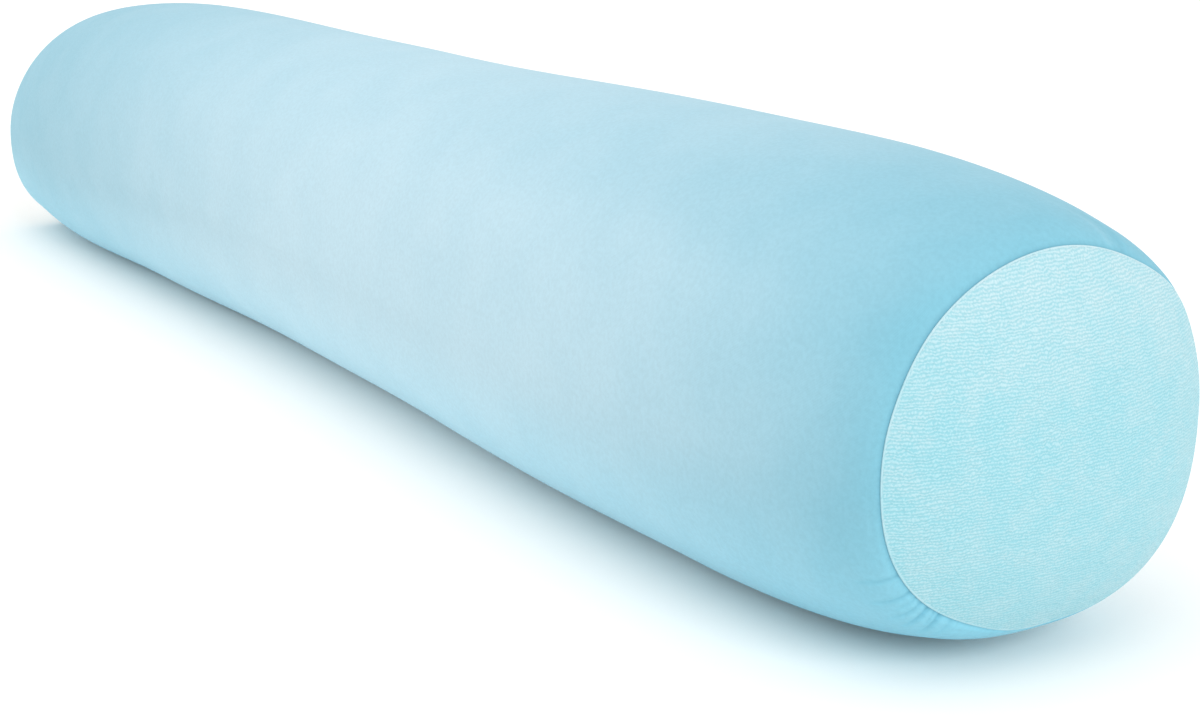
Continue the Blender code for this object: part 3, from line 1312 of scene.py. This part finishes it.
    @staticmethod
    def drawn_in(ring: np.ndarray, middle: np.ndarray, share: float, along: float) -> np.ndarray:
        """Draw a ring in towards its middle, and move it along X.

        Args:
            ring: its points.
            middle: its middle.
            share: how much smaller it gets.
            along: how far it moves.

        Returns:
            The new ring.
        """
        out = middle + (ring - middle) * (1.0 - share)
        out[:, 0] = ring[:, 0] + along
        return out

    def skinned(self, rings: list[np.ndarray], notes: list[np.ndarray]) -> bpy.types.Mesh:
        """Join the rings and close the poles.

        Args:
            rings: the rings of points, from the far end to the near one.
            notes: the notes of each ring.

        Returns:
            The closed mesh with its notes and its map.
        """
        starts = np.concatenate(([0], np.cumsum([len(ring) for ring in rings]))).tolist()
        index = [list(range(first, last)) for first, last in zip(starts, starts[1:])]
        faces = []
        for row, after in zip(index, index[1:]):
            faces += bridge(row, after) if len(row) <= len(after) else bridge(after, row)
        faces += fan(index[0], starts[-1]) + fan(index[-1], starts[-1] + 1)
        poles = [rings[0].mean(axis=0), rings[-1].mean(axis=0)]
        mesh = mesh_from("bolster_cover", np.concatenate([*rings, poles]), faces)
        pole_notes = np.array(((0.0, self.NO_SEAM, 0.0, 0.0), (0.0, self.NO_SEAM, 1.0, 0.0)))
        told = np.concatenate([*notes, pole_notes])
        store_vectors(mesh, "seam", told[:, :3])
        store_numbers(mesh, "fold", told[:, 3])
        store_numbers(mesh, "from_seam", told[:, 1])
        self.map_cloth(mesh)
        return mesh

    def map_cloth(self, mesh: bpy.types.Mesh) -> None:
        """Give the mesh its cloth map in metres: across is round the girth, up is along the tube.

        Args:
            mesh: the tube's closed mesh.
        """
        corners = np.empty(len(mesh.loops), dtype=np.int32)
        mesh.loops.foreach_get("vertex_index", corners)
        points = np.empty(len(mesh.vertices) * 3)
        mesh.vertices.foreach_get("co", points)
        points = points.reshape(-1, 3)
        turn = np.arctan2(points[:, 2] - self.map_middle, points[:, 1]) / FULL_TURN
        at = turn[corners]
        starts = np.empty(len(mesh.polygons), dtype=np.int32)
        mesh.polygons.foreach_get("loop_start", starts)
        highest = np.maximum.reduceat(at, starts)
        sizes = np.diff(np.concatenate((starts, [len(corners)])))
        at = np.where(np.repeat(highest, sizes) - at > 0.5, at + 1.0, at)
        places = np.column_stack((at * FULL_TURN * self.map_radius, points[corners, 0]))
        layer = mesh.uv_layers.new(name="cloth")
        layer.data.foreach_set("uv", places.astype(np.float32).ravel())


# ------------------------------------------------------------------------------------------------
# The end panels
# ------------------------------------------------------------------------------------------------


@dataclass(frozen=True)
class Drift:
    """A soft random shift of the nap's rows or tufts.

    Args:
        scale: how often it changes in a metre.
        reach: it goes up to about half of this either way.
    """

    scale: float
    reach: float

    def shifted(self, tree: TreeBuilder, value: Socket, place: Socket) -> Socket:
        """A number with the shift at a place added to it."""
        middle = tree.maths("SUBTRACT", tree.noise(place, self.scale, 1.0), 0.5)
        return tree.maths("MULTIPLY_ADD", middle, self.reach, value)


@dataclass(frozen=True)
class Nap:
    """The plush's nap, which stands in rows of small tufts.

    Args:
        row_pitch: the distance from one row to the next.
        tuft_pitch: the distance from one tuft to the next.
        pile: how high it stands.
        slant: how the rows rise across the panel.
        row_step: how far each row's tufts are shifted, in tufts.
        row_bend: how the rows wave.
        row_shake: how each tuft strays up or down.
        tuft_shake: how each tuft strays across.
        unlike: how much of its height each tuft has.
        apart: the shift that makes the tufts stray on their own.
    """

    row_pitch: float = 1.34 * MM
    tuft_pitch: float = 1.30 * MM
    pile: float = 0.36 * MM
    slant: float = -0.06
    row_step: float = 0.5
    row_bend: Drift = Drift(38.0, 3.4 * MM)
    row_shake: Drift = Drift(330.0, 2.4 * MM)
    tuft_shake: Drift = Drift(330.0, 2.6 * MM)
    unlike: Grain = Grain(520.0, Ramp(0.3, 0.7, 0.4, 1.2))
    apart: tuple[float, float, float] = (3.0, 1.0, 2.0)

    def tree(self) -> GeometryTree:
        """Make the tree that raises the nap, by the notes that the points keep as "nap".

        Returns:
            The tree.
        """
        tree = GeometryTree("nap_rows")
        row_pitch = tree.named_input("Row Pitch")
        tuft_pitch = tree.named_input("Tuft Pitch")
        height = tree.named_input("Pile Height")
        seed = tree.named_input("Seed")
        material = tree.named_input("Material", "NodeSocketMaterial")
        across, up, amount = tree.split(tree.attribute("nap"))
        flat = tree.joined(across, up, seed)
        other = tree.vector_maths("ADD", flat, self.apart)
        level = self.row_shake.shifted(tree, self.row_bend.shifted(tree, up, flat), flat)
        aside = self.tuft_shake.shifted(tree, across, other)
        row = tree.maths("DIVIDE", tree.maths("MULTIPLY_ADD", across, self.slant, level), row_pitch)
        tuft = tree.maths("MULTIPLY_ADD", row, self.row_step, tree.maths("DIVIDE", aside, tuft_pitch))
        phase = tree.joined(row, tuft, amount)
        raised = tree.product(nap_height(tree, phase), tree.grained(flat, self.unlike), amount, height)
        tree.close(tree.keeping(tree.pushed_out(raised), "nap_phase", phase), material)
        return tree

    def values(self, seed: float, material: bpy.types.Material) -> dict:
        """The nap's sizes, by the tree's names for them."""
        sizes = {"Row Pitch": self.row_pitch, "Tuft Pitch": self.tuft_pitch, "Pile Height": self.pile}
        return {**sizes, "Seed": seed, "Material": material}


@dataclass
class EndPanel:
    """A round panel of short plush, domed by the fill, with a plain rolled edge along its seam.

    Args:
        end: the end that it closes.
        skin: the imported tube's skin.
        finish: its cloth.
        nap: its nap.
        overhang: how far it stands out over the seam.
        lift: how far it lies off the tube.
        thickness: how thick it is.
        roll_width: how wide the rolled edge is.
        roll_height: how high the rolled edge is.
        roll_shares: the rings across the rolled edge, as shares of its width.
        turn_under: the rings that turn the rim under: how far inside the rim, how far behind.
        back_inset: how far inside the rim the flat back begins.
        back_shares: the back's other rings, as shares of the radius.
        cell_across: the face's points across the panel.
        cell_up: its points up the panel.
        looseness: how far those stray from their even places.
        clear_of_roll: how far inside the rolled edge they begin.
        nap_edge: where the nap begins and where it is full, as shares of the rolled edge's width.
        loose_seed: the number that sets how the points stray.
        nap_seed: the number that sets how the tufts stray.
        rim_points: how many points the rim has.

    BULGE_POWER is how flat the dome is in its middle and how steep by its edge.
    """

    end: PillowEnd
    skin: TubeSkin
    finish: PlushPile
    nap: Nap = Nap()
    overhang: float = 0.15 * MM
    lift: float = 0.30 * MM
    thickness: float = 1.9 * MM
    roll_width: float = 0.6 * MM
    roll_height: float = 0.30 * MM
    roll_shares: tuple[float, ...] = (0.0, 0.12, 0.35, 0.65, 0.88, 1.0)
    turn_under: tuple[tuple[float, float], ...] = (
        (0.12 * MM, 0.06 * MM),
        (0.60 * MM, 0.10 * MM),
        (0.75 * MM, 0.60 * MM),
    )
    back_inset: float = 0.85 * MM
    back_shares: tuple[float, ...] = (0.06, 0.2, 0.4, 0.6, 0.8)
    cell_across: float = 0.50 * MM
    cell_up: float = 0.42 * MM
    looseness: float = 0.03 * MM
    clear_of_roll: float = 0.2 * MM
    nap_edge: tuple[float, float] = (0.7, 1.6)
    loose_seed: int = 7
    nap_seed: float = 3.0
    rim_points: int = 480
    bulge: float = field(init=False)
    radius: np.ndarray = field(init=False, repr=False)
    middle: float = field(init=False)
    seam_x: float = field(init=False)

    BULGE_POWER = 2.6

    def __post_init__(self) -> None:
        """Take the panel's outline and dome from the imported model."""
        self.bulge = self.bulge_of(self.end, self.skin) - self.nap.pile - self.lift
        seam, self.middle, self.seam_x = self.skin.outline(self.end)
        self.radius = seam + self.overhang

    @staticmethod
    def bulge_of(end: PillowEnd, skin: TubeSkin) -> float:
        """How far an end's panel stands out past its seam."""
        low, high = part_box(end.panel_node)
        return high[0] - skin.near_x if end is PillowEnd.NEAR else skin.far_x - low[0]

    def build(self) -> bpy.types.Object:
        """Make the panel.

        Returns:
            The finished piece.
        """
        values = self.nap.values(self.nap_seed + self.end.value, self.finish.material())
        return self.nap.tree().run(f"plush_{self.end.name.lower()}", self.closed_mesh(), values)

    def radius_at(self, flat: np.ndarray) -> np.ndarray:
        """The panel's radius in the direction of flat points (across, up)."""
        turn = np.arctan2(flat[:, 1], flat[:, 0]) % FULL_TURN
        return np.interp(turn, self.skin.turns, self.radius, period=FULL_TURN)

    def place(self, flat: np.ndarray, back: float = 0.0) -> np.ndarray:
        """Lift flat points to the panel's dome.

        Args:
            flat: the points (across, up).
            back: how far behind the face they lie.

        Returns:
            The points in their places.
        """
        way = np.hypot(flat[:, 0], flat[:, 1])
        edge = self.radius_at(flat)
        share = np.clip(way / edge, 0.0, 1.0)
        rise = self.bulge * (1.0 - share**self.BULGE_POWER) + self.lift - back
        if not back:
            aside = 2.0 * (edge - way) / self.roll_width - 1.0
            rise += self.roll_height * np.sqrt(np.clip(1.0 - aside**2, 0.0, 1.0))
        return np.column_stack((self.seam_x + self.end.value * rise, flat[:, 0], self.middle + flat[:, 1]))

    def ring(self, inset: float) -> np.ndarray:
        """Lay a ring of flat points inside the panel's edge.

        Args:
            inset: how far inside it.

        Returns:
            The points (across, up).
        """
        turn = FULL_TURN * np.arange(self.rim_points) / self.rim_points
        ways = np.column_stack((np.cos(turn), np.sin(turn)))
        return ways * (self.radius_at(ways) - inset)[:, None]

    def face_points(self) -> np.ndarray:
        """Lay the face's flat points: its edge, the rings of the rolled edge, and the nap's rows.

        Returns:
            The points (across, up), with the rim's first.
        """
        rings = [self.ring(share * self.roll_width) for share in self.roll_shares]
        wide, high = [round(float(self.radius.max()) / cell) for cell in (self.cell_across, self.cell_up)]
        across = self.cell_across * np.arange(-wide, wide + 1)
        up = self.cell_up * np.arange(-high, high + 1)
        flat = np.stack(np.meshgrid(across, up), axis=2).reshape(-1, 2)
        limit = self.radius_at(flat) - self.roll_width - self.clear_of_roll
        flat = flat[np.hypot(flat[:, 0], flat[:, 1]) < limit]
        draws = np.random.default_rng(self.loose_seed + self.end.value)
        loose = draws.normal(0.0, self.looseness, flat.shape)
        return np.concatenate((*rings, flat + loose))

    def closed_mesh(self) -> bpy.types.Mesh:
        """Make the panel as a closed sheet: face, edge and back.

        Returns:
            The mesh with its nap's notes.
        """
        flat = self.face_points()
        count = self.rim_points
        edges = [(side, (side + 1) % count) for side in range(count)]
        made = delaunay_2d_cdt([Vector(point) for point in flat / MM], edges, [], 1, 1e-4)
        came_from = [sources[0] for sources in made[3]]
        faces = [[came_from[i] for i in face] for face in made[2]]
        points = self.place(flat)
        rim = list(range(count))
        for inset, back in self.back_rings():
            row = list(range(len(points), len(points) + count))
            points = np.concatenate((points, self.place(self.ring(inset), back)))
            faces += bridge(rim, row)
            rim = row
        faces += fan(rim, len(points))
        points = np.concatenate((points, self.place(np.zeros((1, 2)), self.thickness)))
        mesh = mesh_from("plush", points, faces)
        store_vectors(mesh, "nap", self.nap_notes(flat, len(points)))
        return mesh

    def back_rings(self) -> list[tuple[float, float]]:
        """The rings behind the face, from the rim in: how far inside the rim, and how far behind."""
        insets = (self.back_inset, *(share * float(self.radius.mean()) for share in self.back_shares))
        return [*self.turn_under, *((inset, self.thickness) for inset in insets)]

    def nap_notes(self, flat: np.ndarray, count: int) -> np.ndarray:
        """Write the nap's notes.

        Args:
            flat: the face's points (across, up).
            count: how many points the mesh has, with those at the back.

        Returns:
            Each point's place across and up, and how much nap stands there, none at the edge.
        """
        from_rim = self.radius_at(flat) - np.hypot(flat[:, 0], flat[:, 1])
        notes = np.zeros((count, 3))
        notes[: len(flat), :2] = flat
        begins, full = [share * self.roll_width for share in self.nap_edge]
        notes[: len(flat), 2] = smooth_step(from_rim, begins, full)
        return notes


# ------------------------------------------------------------------------------------------------
# The studio
# ------------------------------------------------------------------------------------------------


@dataclass(frozen=True)
class Lamp:
    """One wide soft light that is far away.

    Args:
        name: the lamp's name.
        strength: its power.
        softness: how wide it is in the sky, in degrees.
        comes_from: the direction that it shines from.
    """

    name: str
    strength: float
    softness: float
    comes_from: tuple[float, float, float]

    def hang(self) -> None:
        """Put the lamp in the scene."""
        data = bpy.data.lights.new(self.name, "SUN")
        data.energy = self.strength
        data.angle = math.radians(self.softness)
        lamp = bpy.data.objects.new(self.name, data)
        lamp.rotation_euler = Vector(self.comes_from).to_track_quat("Z", "Y").to_euler()
        bpy.context.scene.collection.objects.link(lamp)


@dataclass
class Studio:
    """The plain pale floor, the soft lights and the camera.

    Args:
        paper: the floor's finish.
        floor_side: how wide the floor is.
        sky: how bright the white sky is.
        lamps: the lamps.
        azimuth: the camera's turn round the pillow, in degrees.
        elevation: how high it looks down from, in degrees.
        distance: how far it is from its aim.
        aim: the place that it looks at.
        lens: its focal length, in millimetres.
        sensor: how wide its picture is, in millimetres.
        clip: the nearest and the farthest that it sees.
    """

    paper: StudioPaper
    floor_side: float = 24.0
    sky: float = 0.91
    lamps: tuple[Lamp, ...] = (
        Lamp("side", strength=1.10, softness=30.0, comes_from=(0.87, 0.0, 0.50)),
        Lamp("front", strength=0.57, softness=70.0, comes_from=(0.0, -0.50, 0.87)),
    )
    azimuth: float = 59.43
    elevation: float = 14.41
    distance: float = 1.0837
    aim: tuple[float, float, float] = (0.237, 0.0, 0.0507)
    lens: float = 62.0
    sensor: float = 36.0
    clip: tuple[float, float] = (0.05, 60.0)

    def build(self) -> None:
        """Make the floor, the lights and the camera."""
        self.lay_floor()
        self.light()
        self.place_camera()
        bpy.context.scene.view_settings.view_transform = "Standard"

    def lay_floor(self) -> None:
        """Lay the paper that the pillow rests on."""
        half = self.floor_side / 2.0
        corners = [(-half, -half, 0.0), (half, -half, 0.0), (half, half, 0.0), (-half, half, 0.0)]
        mesh = bpy.data.meshes.new("floor")
        mesh.from_pydata(corners, [], [(0, 1, 2, 3)])
        mesh.materials.append(self.paper.material())
        object_from("floor", mesh)

    def light(self) -> None:
        """Light the white sky and hang the soft lamps."""
        world = bpy.data.worlds.new("studio")
        world.use_nodes = True
        background = world.node_tree.nodes["Background"].inputs
        background["Color"].default_value = (1.0, 1.0, 1.0, 1.0)
        background["Strength"].default_value = self.sky
        bpy.context.scene.world = world
        for lamp in self.lamps:
            lamp.hang()

    def place_camera(self) -> None:
        """Put the camera where the photograph was taken from."""
        turn, lift = math.radians(self.azimuth), math.radians(self.elevation)
        flat = math.cos(lift)
        back = Vector((math.sin(turn) * flat, -math.cos(turn) * flat, math.sin(lift)))
        data = bpy.data.cameras.new("camera")
        data.lens = self.lens
        data.sensor_width = self.sensor
        data.clip_start, data.clip_end = self.clip
        camera = bpy.data.objects.new("camera", data)
        camera.location = Vector(self.aim) + back * self.distance
        camera.rotation_euler = (-back).to_track_quat("-Z", "Y").to_euler()
        bpy.context.scene.collection.objects.link(camera)
        bpy.context.scene.camera = camera


# ------------------------------------------------------------------------------------------------
# The whole pillow
# ------------------------------------------------------------------------------------------------


def report(piece: bpy.types.Object) -> None:
    """Log a finished piece's name and size.

    Args:
        piece: the piece.
    """
    triangles = sum(len(face.vertices) - 2 for face in piece.data.polygons)
    sides = [round(side / MM, 1) for side in piece.dimensions]
    LOG.info("%s: %d triangles, %s mm", piece.name, triangles, sides)


def add_tube(skin: TubeSkin) -> bpy.types.Object:
    """Args:
        skin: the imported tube's skin.

    Returns:
        The tube.
    """
    piece = BolsterTube(skin, StretchKnit()).build()
    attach(piece, "root")
    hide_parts("bolster_tube")
    report(piece)
    return piece


def add_panel(end: PillowEnd, skin: TubeSkin) -> None:
    """Args:
        end: the end that it closes.
        skin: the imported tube's skin.
    """
    panel = EndPanel(end, skin, PlushPile(name=f"plush_pile_{end.name.lower()}"))
    piece = panel.build()
    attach(piece, "root")
    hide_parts(end.panel_node)
    report(piece)


def main() -> None:
    """Build the studio and the pillow's pieces in order."""
    logging.basicConfig(level=logging.INFO, format="%(name)s: %(message)s", stream=sys.stdout)
    Studio(StudioPaper()).build()
    skin = TubeSkin()
    tube = add_tube(skin)
    for end in PillowEnd:
        add_panel(end, skin)


if __name__ == "__main__":
    main()
